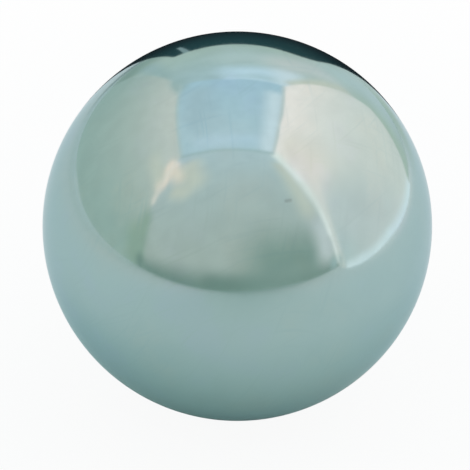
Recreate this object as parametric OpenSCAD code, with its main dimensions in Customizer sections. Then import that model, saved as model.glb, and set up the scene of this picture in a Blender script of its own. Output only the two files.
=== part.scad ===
// Steel ball
// One solid ball, ground and lapped to a true sphere, with no hole, flat or seam.
// The origin is the centre of the ball, and +Z is up. All sizes are in millimetres.

/* [Ball] */
// Diameter of the ball
ball_d = 25.4; // [3:0.1:150]

/* [Hidden] */

// Radius of the ball
ball_r = ball_d / 2;
// Sides of the great circle, when the ball is shown as a mesh
ball_sides = 180;

// The ball is one piece, so its whole surface is one face
module ball() {
    color("lightslategray")
        sphere(r = ball_r, $fn = ball_sides);
}

ball();
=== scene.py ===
"""A polished steel ball on a pale table, in the small light tent that its mirror shows."""

import math

import bpy
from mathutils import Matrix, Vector


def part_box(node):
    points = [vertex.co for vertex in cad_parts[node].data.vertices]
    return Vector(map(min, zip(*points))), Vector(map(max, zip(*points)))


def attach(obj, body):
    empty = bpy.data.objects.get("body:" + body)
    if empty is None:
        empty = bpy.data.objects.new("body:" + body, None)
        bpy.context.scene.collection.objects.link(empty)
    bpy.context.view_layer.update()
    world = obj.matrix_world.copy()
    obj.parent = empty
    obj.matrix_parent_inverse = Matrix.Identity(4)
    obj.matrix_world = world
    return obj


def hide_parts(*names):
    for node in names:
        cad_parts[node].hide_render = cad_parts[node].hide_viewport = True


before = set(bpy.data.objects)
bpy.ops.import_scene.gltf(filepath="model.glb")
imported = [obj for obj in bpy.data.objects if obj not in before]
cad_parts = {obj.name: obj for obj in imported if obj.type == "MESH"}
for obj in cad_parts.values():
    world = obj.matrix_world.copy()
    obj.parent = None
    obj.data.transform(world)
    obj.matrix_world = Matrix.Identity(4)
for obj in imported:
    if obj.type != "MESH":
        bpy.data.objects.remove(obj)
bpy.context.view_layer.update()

MM = 0.001

# The ball, from the frame
ball_low, ball_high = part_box("ball")
BALL_R = (ball_high.z - ball_low.z) / 2
BALL_CENTRE = Vector((0, 0, (ball_high.z + ball_low.z) / 2))
BALL_LEVELS = 6  # of subdivision, from the six faces of a cube

# Lapped chrome steel, a little blue-green, with faint warm and lilac tints in it
STEEL = (0.46, 0.60, 0.59, 1)
STEEL_WARM = (0.475, 0.60, 0.58, 1)
STEEL_LILAC = (0.460, 0.59, 0.605, 1)
STEEL_EDGE = (0.84, 0.90, 0.93, 1)  # how much of its light is left at a glancing view
TINT_SIZE = 5 * MM
POLISH = 0.085

# Levels of soft noise, which lies about its middle: where a mark begins, and where it is full
MIDDLE = 0.50
WARM_FULL = 0.68
LILAC_FULL = 0.34
SMUDGE_FULL = 0.68
HAIRLINE_BEGINS = 0.60
HAIRLINE_FULL = 0.74

# The marks of handling: smudges, hairlines from the lapping plates and a few small pits
SMUDGE = (0.450, 0.59, 0.58, 1)
SMUDGE_SIZE = 4 * MM
SMUDGE_HAZE = 0.04
HAIRLINE = (0.450, 0.588, 0.578, 1)
HAIRLINE_HAZE = 0.012
HAIRLINE_WIDTH = 0.16 * MM
HAIRLINE_LENGTH = 5 * MM
HAIRLINE_TURNS = ((0.3, 0.5, 0.0), (1.2, 0.2, 0.9), (-0.7, 1.1, 2.1))  # radians, one for each pass
PIT = (0.22, 0.30, 0.30, 1)
PIT_R = 0.09 * MM
PIT_SPACING = 3.2 * MM
PIT_SHARE = 0.12  # of the places where a pit could be
PIT_EDGE = 0.01  # keeps the choice of those places sharp
PIT_FLOOR = 0.6  # of its radius, inside which a pit is at its darkest
NICK = ((3.00, -9.69, 7.64), (3.24, -9.61, 7.64))  # millimetres from the ball's centre
NICK_REACH = 0.20 * MM
NICK_GREY = (0.36, 0.46, 0.45, 1)

# The table and its paper, which changes from one tone to the other between two circles round the ball.
# The darker, bluer tone near the ball is painted shade.
TABLE_R = 1100 * MM
PAPER_NEAR_PAINTED_SHADE = (0.80, 0.90, 0.92, 1)
PAPER_OUTSIDE = (0.90, 0.93, 0.94, 1)
PAPER_INNER_R = 40 * MM
PAPER_OUTER_R = 140 * MM

# How far the camera sees the paper bleached to white: in part near the ball, and in full further out
PAPER_WHITE = 0.93
WHITE_BEGINS_R = 25 * MM
WHITE_FULL_R = 90 * MM

# The pale room beyond the tent
ROOM = (0.75, 0.80, 0.80, 1)

# Every place in the tent is in millimetres from the spot where the ball rests: x, y and height.
# A line goes from a wall's foot to its top, and some bend a little above the table.
TENT_H = 280
BEND_H = 50
FRONT_LEFT = ((-205, -145, 0), (-160, -70, TENT_H))
FRONT_RIGHT = ((190, -120, 0), (95, -75, TENT_H))
BACK_LEFT = ((-105, 230, 10), (-140, 220, TENT_H))
FRONT_RIGHT_BENT = (FRONT_RIGHT[0], (175, -115, BEND_H), FRONT_RIGHT[1])
BACK_LEFT_BENT = (BACK_LEFT[0], (-110, 230, BEND_H), BACK_LEFT[1])
BACK_MIDDLE_BENT = ((5, 155, 5), (15, 200, BEND_H), (-15, 185, TENT_H))
BACK_RIGHT_BENT = ((115, 80, 0), (135, 170, BEND_H), (110, 190, TENT_H))

# Each cloth hangs between such lines, from side to side. The roof's lines go from its front to its back.
TENT = {
    "front": (FRONT_RIGHT, FRONT_LEFT),
    "left": (FRONT_LEFT, ((-145, 70, 20), (-150, 100, TENT_H)), BACK_LEFT),
    "back": (BACK_LEFT_BENT, BACK_MIDDLE_BENT, BACK_RIGHT_BENT),
    "right": (
        BACK_RIGHT_BENT,
        ((95, 65, 0), (110, 65, BEND_H), (105, 60, TENT_H)),
        ((110, 5, 0), (110, 5, BEND_H), (100, 20, TENT_H)),
        ((100, -35, 0), (110, -35, BEND_H), (100, -5, TENT_H)),
        ((110, -60, 0), (110, -60, BEND_H), (100, -20, TENT_H)),
        FRONT_RIGHT_BENT,
    ),
    "roof": (
        (FRONT_LEFT[1], BACK_LEFT[1]),
        ((-30, -70, TENT_H), BACK_MIDDLE_BENT[2]),
        (FRONT_RIGHT[1], BACK_RIGHT_BENT[2]),
    ),
}
CLOTH_CUTS = 3  # across each panel of a cloth, both ways

# Where these numbers come from: the tent's corners above, and the lights, tones and patches of the cloths
# below, were found by a fitting program and then rounded. That stands as an open fault.

# The light through each cloth: first at a wall's foot or the roof's front, then at the wall's top or the
# roof's back
CLOTH_LIGHT = {
    "front": ((0.70, 0.70, 0.65), (0.80, 0.85, 0.90)),
    "left": ((0.55, 0.65, 0.60), (1.00, 0.90, 0.85)),
    "back": ((0.70, 0.75, 0.65), (0.70, 0.80, 0.85)),
    "right": ((1.10, 1.00, 0.95), (1.60, 1.25, 1.20)),
    "roof": ((0.80, 0.90, 1.00), (0.70, 0.85, 1.00)),
}
ROOF_FRONT = -75 * MM
ROOF_BACK = 215 * MM

# How much the weave of the cloth varies its light, and between which levels of soft noise
MOTTLE = 0.03
MOTTLE_SIZE = 30 * MM
MOTTLE_DARK = 0.3
MOTTLE_BRIGHT = 0.7

# The tones that a patch of cloth can have, from shade to lamplight
DEEP_SHADE = (0.30, 0.40, 0.35)
SHADE = (0.40, 0.50, 0.45)
GREEN_SHADE = (0.50, 0.60, 0.50)
SOFT_SHADE = (0.60, 0.70, 0.70)
BLUE_SHADE = (0.70, 0.80, 0.90)
GREY = (0.80, 0.85, 0.85)
PLAIN = (0.95, 0.90, 0.90)
TAN = (1.00, 0.90, 0.80)
WHITE = (1.10, 1.10, 1.20)
PALE_BLUE = (0.85, 0.95, 1.10)
BLUE = (0.95, 1.05, 1.20)
LIT_HEM = (1.20, 1.20, 1.25)
LIT_SEAM = (1.45, 1.30, 1.25)
CREAM = (1.40, 1.10, 1.00)
PEACH = (1.40, 1.05, 0.90)
ORANGE = (1.80, 1.20, 1.00)


def part_way(line, share):
    """The place at a share of the way from a line's first point to its last."""
    return tuple(start + (end - start) * share for start, end in zip(line[0], line[-1]))


# Where a cloth has another tone: the cloths, both ends of the patch, how far it reaches, and the tone.
# A later patch lies over an earlier one.
CLOTH_PATCHES = [
    # shade along the foot of the front wall and in its right corner
    ("front", FRONT_LEFT[0], FRONT_RIGHT[0], 40, DEEP_SHADE),
    ("front", (-30, -130, 5), (30, -130, 5), 25, DEEP_SHADE),
    ("front", (45, -120, 35), (105, -120, 35), 65, SHADE),
    # warm light beside the right post, and lamplight round the top of the left one
    ("front", (95, -90, 215), (115, -105, 110), 35, TAN),
    ("front left", part_way(FRONT_LEFT, 0.85), part_way(FRONT_LEFT, 0.65), 35, ORANGE),
    ("front", (-145, -90, 215), (-115, -95, 190), 40, PEACH),
    ("front", (-105, -90, 225), (-80, -100, 170), 45, TAN),
    ("front", (-115, -105, 150), (-95, -105, 145), 30, TAN),
    # the left post, green at its foot, with a lit seam above
    ("front left", part_way(FRONT_LEFT, 0.35), FRONT_LEFT[0], 35, GREEN_SHADE),
    ("left", (-190, -100, 55), (-195, -125, 5), 45, GREEN_SHADE),
    ("front left", part_way(FRONT_LEFT, 0.9), part_way(FRONT_LEFT, 0.5), 15, CREAM),
    ("front left", part_way(FRONT_LEFT, 0.05), FRONT_LEFT[0], 30, DEEP_SHADE),
    # the right post: soft light beside it, a lit seam that narrows to its foot, and shade at its foot
    ("front", (140, -110, 70), (145, -115, 40), 45, PLAIN),
    ("front right", part_way(FRONT_RIGHT, 0.95), part_way(FRONT_RIGHT, 0.55), 25, LIT_SEAM),
    ("front right", part_way(FRONT_RIGHT, 0.5), part_way(FRONT_RIGHT, 0.25), 20, LIT_SEAM),
    ("front right", part_way(FRONT_RIGHT, 0.25), part_way(FRONT_RIGHT, 0.05), 15, LIT_SEAM),
    ("front right", (170, -120, 10), (150, -95, 10), 20, SOFT_SHADE),
    # the left wall
    ("left", (-165, -35, 185), (-170, -70, 185), 40, TAN),
    ("left roof back", (-135, 215, 240), (-140, 200, 270), 45, SOFT_SHADE),
    # the right wall, creamy at its top and greyer towards the table
    ("right", (105, -35, 210), (105, -40, 140), 70, CREAM),
    ("right", (110, -60, 35), (110, -55, 15), 55, GREY),
    ("right", (110, -45, 60), (105, -5, 25), 60, PLAIN),
    # the roof: its blues, its pale right side and its seams
    ("roof", (-90, -40, TENT_H), (45, -40, TENT_H), 35, PALE_BLUE),
    ("roof", (-90, 130, TENT_H), (-85, 30, TENT_H), 70, BLUE_SHADE),
    ("roof", (85, 120, TENT_H), (80, -60, TENT_H), 40, WHITE),
    ("roof", BACK_LEFT[1], FRONT_LEFT[1], 15, GREY),
    ("roof right", FRONT_RIGHT[1], BACK_RIGHT_BENT[2], 10, PLAIN),
    ("roof front", FRONT_LEFT[1], FRONT_RIGHT[1], 8, SOFT_SHADE),
    # the back wall, bright at its top and dark at its left foot
    ("back", BACK_MIDDLE_BENT[2], BACK_RIGHT_BENT[2], 35, BLUE),
    ("back", (-5, 190, 230), (65, 185, 210), 60, BLUE),
    ("back", (80, 185, 180), (105, 185, 250), 50, WHITE),
    ("back", (-90, 225, 60), (-125, 225, 190), 25, SOFT_SHADE),
    ("back", (-100, 225, 30), (-70, 205, 20), 50, SHADE),
    ("back", (0, 195, 150), (25, 190, 145), 60, GREY),
    ("back", (65, 185, 135), (90, 180, 95), 60, PLAIN),
    ("back", (110, 185, 235), (125, 175, 95), 25, TAN),
    ("back", (90, 180, 50), (70, 125, 10), 50, GREY),
]
# The right wall's hem is lit all along the table
HEM_REACH = 12
for near, far in zip(TENT["right"][1:-2], TENT["right"][2:-1]):
    CLOTH_PATCHES.append(("right", near[0], far[0], HEM_REACH, LIT_HEM))

# Painted light and shade on the paper: painted shade in front, painted light beside the lit hem, a painted
# shadow under the ball, and painted shade behind the card
PAPER_PAINTED_LIGHT_AND_SHADE = (
    ((0, -40, 0), (0, -110, 0), 65, (0.75, 0.85, 0.85)),
    ((105, -10, 0), (95, 65, 0), 30, (1.00, 1.00, 1.00)),
    ((0, 0, 0), (1, 0, 0), 30, (0.60, 0.78, 0.78)),
    ((45, 80, 0), (90, 170, 0), 35, (0.70, 0.80, 0.70)),
    ((-65, 190, 0), (-80, 300, 0), 60, (0.50, 0.55, 0.55)),
)

# The black card that stands close behind the ball, in millimetres: its left and right edges at its foot and
# at its waist, its heights and its one rounded corner, and the pale slit near its left edge, a glowing
# sheet of painted light
CARD_Y = 42.5
CARD_FOOT = (-14.5, 17.0)
CARD_WAIST = (-15.7, 18.4)
CARD_WAIST_H = 20
CARD_H = 35.6
CARD_CORNER = 6
CARD_CORNER_CUTS = 6
CLOSE = 0.1 * MM  # heights that differ by less count as one
CARD_LOW = (0.013, 0.021, 0.025, 1)  # its black, and its greener black at the top
# the greener black at the card's top is painted light
CARD_TOP_PAINTED_LIGHT = (0.030, 0.080, 0.088, 1)
SLIT_Y = 42.2
SLIT_LOW = 26
SLIT_LEFT = ((-11.3, SLIT_Y, SLIT_LOW), (-12.9, SLIT_Y, CARD_H))
SLIT_RIGHT = ((-10.6, SLIT_Y, SLIT_LOW), (-11.2, SLIT_Y, CARD_H))
# the slit's pale glow, painted light
SLIT_PAINTED_LIGHT = (0.38, 0.47, 0.47, 1)

# The camera: how steeply it looks down, and its distance in ball radii
CAMERA_LIFT = math.radians(31)
CAMERA_AWAY = 16
SENSOR = 36
CLIP_NEAR = 0.1  # of that distance
CLIP_FAR = 20

# The rendered image, and the ball's centre and radius in it, in pixels
IMAGE = 470
BALL_IN_IMAGE = (237.3, 226.2)
BALL_R_IN_IMAGE = 194.8


class Value:
    """One output of a node tree. Arithmetic on it adds the Math nodes that work it out."""

    def __init__(self, nodes, socket):
        self.nodes, self.socket = nodes, socket

    def math(self, operation, first, second):
        return self.nodes.node("Math", {"operation": operation}, {0: first, 1: second})

    def __add__(self, other):
        return self.math("ADD", self, other)

    def __radd__(self, other):
        return self.math("ADD", other, self)

    def __mul__(self, other):
        return self.math("MULTIPLY", self, other)

    def __rmul__(self, other):
        return self.math("MULTIPLY", other, self)


class Nodes:
    """The node tree of a material or of the world."""

    def __init__(self, owner):
        owner.use_nodes = True
        self.tree = owner.node_tree
        self.tree.nodes.clear()

    def node(self, kind, settings=None, inputs=None, output=0):
        """Adds a node, sets it up, feeds its sockets values or links, and returns one of its outputs."""
        made = self.tree.nodes.new("ShaderNode" + kind)
        for name, setting in (settings or {}).items():
            setattr(made, name, setting)
        for name, value in (inputs or {}).items():
            if isinstance(value, Value):
                self.tree.links.new(value.socket, made.inputs[name])
            else:
                made.inputs[name].default_value = value
        return Value(self, made.outputs[output]) if len(made.outputs) else None

    def place(self):
        return self.node("TexCoord", output="Object")

    def vector(self, operation, inputs, output="Vector"):
        return self.node("VectorMath", {"operation": operation}, inputs, output)

    def ramp(self, value, low, high, out_low=0.0, out_high=1.0):
        """A smooth step of a value from out_low at low to out_high at high."""
        return self.node(
            "MapRange",
            {"interpolation_type": "SMOOTHSTEP"},
            {"Value": value, "From Min": low, "From Max": high, "To Min": out_low, "To Max": out_high},
        )

    def blend(self, factor, first, second):
        """A mix of two colours."""
        return self.node("Mix", {"data_type": "RGBA"}, {0: factor, 6: first, 7: second}, output=2)

    def noise(self, place, size, detail=2.0):
        """Soft noise between 0 and 1, with lumps of about one size."""
        return self.node("TexNoise", inputs={"Vector": place, "Scale": 1 / size, "Detail": detail})

    def beside(self, place, start, end, reach):
        """1 on the line between two points, and 0 from a reach away."""
        along = end - start
        offset = self.vector("SUBTRACT", {0: place, 1: start})
        share = self.vector("DOT_PRODUCT", {0: offset, 1: along / along.length_squared}, "Value")
        share = self.node("Clamp", inputs={"Value": share})
        nearest = self.vector("SCALE", {0: along, "Scale": share})
        away = self.vector("DISTANCE", {0: offset, 1: nearest}, "Value")
        return self.ramp(away, reach, 0.0)

    def surface(self, shader):
        self.node("OutputMaterial", inputs={"Surface": shader})


def deselect():
    bpy.ops.object.select_all(action="DESELECT")


def put_on(piece, material):
    piece.data.materials.clear()
    piece.data.materials.append(material)


def settle(piece):
    """Puts the piece's place, turn and size into its mesh."""
    deselect()
    piece.select_set(True)
    bpy.context.view_layer.objects.active = piece
    bpy.ops.object.transform_apply(location=True, rotation=True, scale=True)


def spot(place):
    """A place in the tent, from millimetres to the frame's metres."""
    x, y, height = place
    return Vector((x * MM, y * MM, ball_low.z + height * MM))


# The ball


def make_ball():
    """The ball, from a cube divided and swollen to a true sphere, so that no pole shows in its mirror."""
    deselect()
    bpy.ops.mesh.primitive_cube_add(size=2 * BALL_R, location=BALL_CENTRE)
    ball = bpy.context.object
    ball.name = "polished_ball"
    divide = ball.modifiers.new("divide", "SUBSURF")
    divide.levels = divide.render_levels = BALL_LEVELS
    swell = ball.modifiers.new("swell", "CAST")
    swell.cast_type = "SPHERE"
    swell.factor = 1
    swell.use_radius_as_size = False
    swell.size = BALL_R
    for modifier in (divide, swell):
        bpy.ops.object.modifier_apply(modifier=modifier.name)
    bpy.ops.object.shade_smooth()
    settle(ball)
    return ball


def hairlines(nodes, place, turn):
    """The marks of one pass between the lapping plates: fine broken arcs that all run one way."""
    turned = nodes.node("Mapping", inputs={"Vector": place, "Rotation": turn})
    drawn_out = nodes.vector(
        "MULTIPLY", {0: turned, 1: (1 / HAIRLINE_LENGTH, 1 / HAIRLINE_LENGTH, 1 / HAIRLINE_WIDTH)}
    )
    grain = nodes.noise(drawn_out, 1.0, detail=1.0)
    return nodes.ramp(grain, HAIRLINE_BEGINS, HAIRLINE_FULL)


def pits(nodes, place):
    """A few small round pits, wherever the cells that could hold one draw it."""
    cells = {"Vector": place, "Scale": 1 / PIT_SPACING}
    away = nodes.node("TexVoronoi", inputs=cells, output="Distance")
    colour = nodes.node("TexVoronoi", inputs=cells, output="Color")
    draw = nodes.node("SeparateColor", inputs={"Color": colour})
    held = nodes.ramp(draw, PIT_SHARE, PIT_SHARE - PIT_EDGE)
    edge = PIT_R / PIT_SPACING
    return held * nodes.ramp(away, edge, edge * PIT_FLOOR)


def polished_steel():
    """Mirror-bright steel, with its tints and its marks in the colour and in the roughness."""
    material = bpy.data.materials.new("polished_steel")
    nodes = Nodes(material)
    place = nodes.place()
    tint = nodes.noise(place, TINT_SIZE)
    steel = nodes.blend(nodes.ramp(tint, MIDDLE, WARM_FULL), STEEL, STEEL_WARM)
    steel = nodes.blend(nodes.ramp(tint, MIDDLE, LILAC_FULL), steel, STEEL_LILAC)
    smudge = nodes.ramp(nodes.noise(place, SMUDGE_SIZE, detail=4.0), MIDDLE, SMUDGE_FULL)
    steel = nodes.blend(smudge, steel, SMUDGE)
    roughness = POLISH + SMUDGE_HAZE * smudge
    for turn in HAIRLINE_TURNS:
        line = hairlines(nodes, place, turn)
        steel = nodes.blend(line, steel, HAIRLINE)
        roughness = roughness + HAIRLINE_HAZE * line
    steel = nodes.blend(pits(nodes, place), steel, PIT)
    nick_start, nick_end = (BALL_CENTRE + Vector(end) * MM for end in NICK)
    steel = nodes.blend(nodes.beside(place, nick_start, nick_end, NICK_REACH), steel, NICK_GREY)
    finish = {"Base Color": steel, "Metallic": 1.0, "Roughness": roughness, "Specular Tint": STEEL_EDGE}
    nodes.surface(nodes.node("BsdfPrincipled", inputs=finish))
    return material


# The table, the tent and the card


def make_table():
    deselect()
    bpy.ops.mesh.primitive_plane_add(size=2 * TABLE_R, location=(0, 0, ball_low.z))
    table = bpy.context.object
    table.name = "table"
    settle(table)
    return table


def pale_paper():
    """The table's paper: almost white to the camera, with the ball's faint shadow, in part painted, and
    clear from below.
    """
    material = bpy.data.materials.new("pale_paper")
    nodes = Nodes(material)
    seen = nodes.node("LightPath", output="Is Camera Ray")
    place = nodes.place()
    away = nodes.vector("DISTANCE", {0: place, 1: spot((0, 0, 0))}, "Value")
    bleached = nodes.ramp(away, WHITE_BEGINS_R, WHITE_FULL_R, PAPER_WHITE, 1.0)
    # the paper darker and bluer near the ball: painted shade
    colour = nodes.blend(nodes.ramp(away, PAPER_INNER_R, PAPER_OUTER_R), PAPER_NEAR_PAINTED_SHADE, PAPER_OUTSIDE)
    # painted light and shade on the paper, each lying over the tone beneath
    for start, end, reach, tone in PAPER_PAINTED_LIGHT_AND_SHADE:
        near = nodes.beside(place, spot(start), spot(end), reach * MM)
        colour = nodes.blend(near, colour, (*tone, 1))
    cloth = nodes.node("BsdfDiffuse", inputs={"Color": colour})
    white = nodes.node("Emission", inputs={"Strength": 1.0})
    shown = nodes.node("MixShader", inputs={0: seen * bleached, 1: cloth, 2: white})
    under = nodes.node("NewGeometry", output="Backfacing")
    clear = nodes.node("BsdfTransparent")
    nodes.surface(nodes.node("MixShader", inputs={0: under * seen, 1: shown, 2: clear}))
    return material


def lit_cloth(side):
    """Tent cloth with light behind it, which changes from edge to edge and in patches, a little mottled."""
    material = bpy.data.materials.new(side + "_cloth")
    nodes = Nodes(material)
    place = nodes.place()
    if side == "roof":
        rise = nodes.ramp(nodes.node("SeparateXYZ", inputs={0: place}, output="Y"), ROOF_FRONT, ROOF_BACK)
    else:
        top = spot(FRONT_LEFT[1]).z
        rise = nodes.ramp(nodes.node("SeparateXYZ", inputs={0: place}, output="Z"), ball_low.z, top)
    low, high = CLOTH_LIGHT[side]
    colour = nodes.blend(rise, (*low, 1), (*high, 1))
    for sides, start, end, reach, tone in CLOTH_PATCHES:
        if side in sides.split():
            near = nodes.beside(place, spot(start), spot(end), reach * MM)
            colour = nodes.blend(near, colour, (*tone, 1))
    weave = nodes.noise(place, MOTTLE_SIZE, detail=3.0)
    mottle = nodes.ramp(weave, MOTTLE_DARK, MOTTLE_BRIGHT, 1 - MOTTLE, 1 + MOTTLE)
    colour = nodes.vector("SCALE", {0: colour, "Scale": mottle})
    nodes.surface(nodes.node("Emission", inputs={"Color": colour, "Strength": 1.0}))
    return material


def stand_in_tent(piece, name, material):
    """Names a piece of the tent, gives it its cloth, and leaves it to the mirror alone."""
    piece.name = name
    piece.visible_camera = False
    put_on(piece, material)


def reshape(mesh, places):
    """Moves each vertex of a mesh in turn to its place."""
    for index, place in enumerate(places):
        bpy.ops.object.mode_set(mode="EDIT")
        bpy.ops.mesh.select_all(action="DESELECT")
        bpy.ops.object.mode_set(mode="OBJECT")
        mesh.vertices[index].select = True
        move = place - mesh.vertices[index].co
        bpy.ops.object.mode_set(mode="EDIT")
        bpy.ops.transform.translate(value=move)
        bpy.ops.object.mode_set(mode="OBJECT")


def sheet(lines):
    """A sheet hung between upright lines, from a flat grid with as many rows and columns."""
    deselect()
    rows, columns = len(lines[0]), len(lines)
    bpy.ops.mesh.primitive_grid_add(x_subdivisions=columns - 1, y_subdivisions=rows - 1, size=1)
    piece = bpy.context.object
    reshape(piece.data, [spot(line[row]) for row in range(rows) for line in lines])
    return piece


def make_tent():
    for side, lines in TENT.items():
        cloth = sheet(lines)
        bpy.ops.object.mode_set(mode="EDIT")
        bpy.ops.mesh.select_all(action="SELECT")
        bpy.ops.mesh.subdivide(number_cuts=CLOTH_CUTS)
        bpy.ops.object.mode_set(mode="OBJECT")
        stand_in_tent(cloth, "tent_" + side, lit_cloth(side))


def black_card():
    """Black card, a little greener towards its top: painted light, where light reaches it."""
    material = bpy.data.materials.new("black_card")
    nodes = Nodes(material)
    height = nodes.node("SeparateXYZ", inputs={0: nodes.place()}, output="Z")
    low, high = spot((0, 0, CARD_WAIST_H / 2)).z, spot((0, 0, CARD_H)).z
    colour = nodes.blend(nodes.ramp(height, low, high), CARD_LOW, CARD_TOP_PAINTED_LIGHT)
    nodes.surface(nodes.node("Emission", inputs={"Color": colour, "Strength": 1.0}))
    return material


# The slit glows: painted light, seen only in the mirror.
def painted_light_slit():
    material = bpy.data.materials.new("painted_light_slit")
    nodes = Nodes(material)
    nodes.surface(nodes.node("Emission", inputs={"Color": SLIT_PAINTED_LIGHT, "Strength": 1.0}))
    return material


def pick(piece, wanted):
    """Enters edit mode with only the wanted vertices selected."""
    bpy.ops.object.mode_set(mode="EDIT")
    bpy.ops.mesh.select_all(action="DESELECT")
    bpy.ops.object.mode_set(mode="OBJECT")
    for vertex in piece.data.vertices:
        vertex.select = wanted(vertex.co)
    bpy.ops.object.mode_set(mode="EDIT")


def make_card():
    """The card, with a narrow foot, straight sides above its waist and one rounded corner at its top."""
    edges = [
        ((foot, CARD_Y, 0), (waist, CARD_Y, CARD_WAIST_H))
        for foot, waist in zip(CARD_FOOT, CARD_WAIST)
    ]
    card = sheet(edges)
    waist = spot((0, 0, CARD_WAIST_H)).z
    rise = (CARD_H - CARD_WAIST_H) * MM
    pick(card, lambda place: abs(place.z - waist) < CLOSE)
    bpy.ops.mesh.extrude_region_move(TRANSFORM_OT_translate={"value": (0, 0, rise)})
    bpy.ops.object.mode_set(mode="OBJECT")
    pick(card, lambda place: place.z > waist + CLOSE and place.x > 0)
    bpy.ops.mesh.bevel(offset=CARD_CORNER * MM, segments=CARD_CORNER_CUTS, affect="VERTICES")
    bpy.ops.object.mode_set(mode="OBJECT")
    stand_in_tent(card, "card", black_card())
    # the slit: a glowing sheet of painted light just in front of the card
    slit = sheet((SLIT_LEFT, SLIT_RIGHT))
    stand_in_tent(slit, "card_slit_painted_light", painted_light_slit())
    for piece in (card, slit):
        piece.visible_diffuse = False
        piece.visible_shadow = False


def light_world():
    """White to the camera, and the pale room to the ball's mirror and to the table."""
    world = bpy.data.worlds.new("pale_room")
    bpy.context.scene.world = world
    nodes = Nodes(world)
    seen = nodes.node("LightPath", output="Is Camera Ray")
    colour = nodes.blend(seen, ROOM, (1, 1, 1, 1))
    room = nodes.node("Background", inputs={"Color": colour, "Strength": 1.0})
    nodes.node("OutputWorld", inputs={"Surface": room})


def make_camera():
    """The camera, aimed so that the ball has its place and its size in the image."""
    data = bpy.data.cameras.new("camera")
    camera = bpy.data.objects.new("camera", data)
    bpy.context.scene.collection.objects.link(camera)
    bpy.context.scene.camera = camera
    distance = CAMERA_AWAY * BALL_R
    rim = BALL_R / math.sqrt(distance**2 - BALL_R**2)  # tangent of half the angle that the ball fills
    pixel = rim / BALL_R_IN_IMAGE
    data.sensor_width = SENSOR
    data.lens = SENSOR / (IMAGE * pixel)
    data.clip_start = distance * CLIP_NEAR
    data.clip_end = distance * CLIP_FAR
    back = Vector((0, -math.cos(CAMERA_LIFT), math.sin(CAMERA_LIFT)))
    up = Vector((0, math.sin(CAMERA_LIFT), math.cos(CAMERA_LIFT)))
    beside = (BALL_IN_IMAGE[0] - IMAGE / 2) * pixel * distance
    above = (IMAGE / 2 - BALL_IN_IMAGE[1]) * pixel * distance
    aim = BALL_CENTRE - Vector((beside, 0, 0)) - up * above
    camera.location = BALL_CENTRE + back * distance
    camera.rotation_euler = (aim - camera.location).to_track_quat("-Z", "Y").to_euler()


make_camera()
ball = make_ball()
put_on(ball, polished_steel())
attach(ball, "root")
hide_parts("ball")

put_on(make_table(), pale_paper())
make_tent()
make_card()
light_world()

bpy.context.scene.view_settings.view_transform = "Standard"
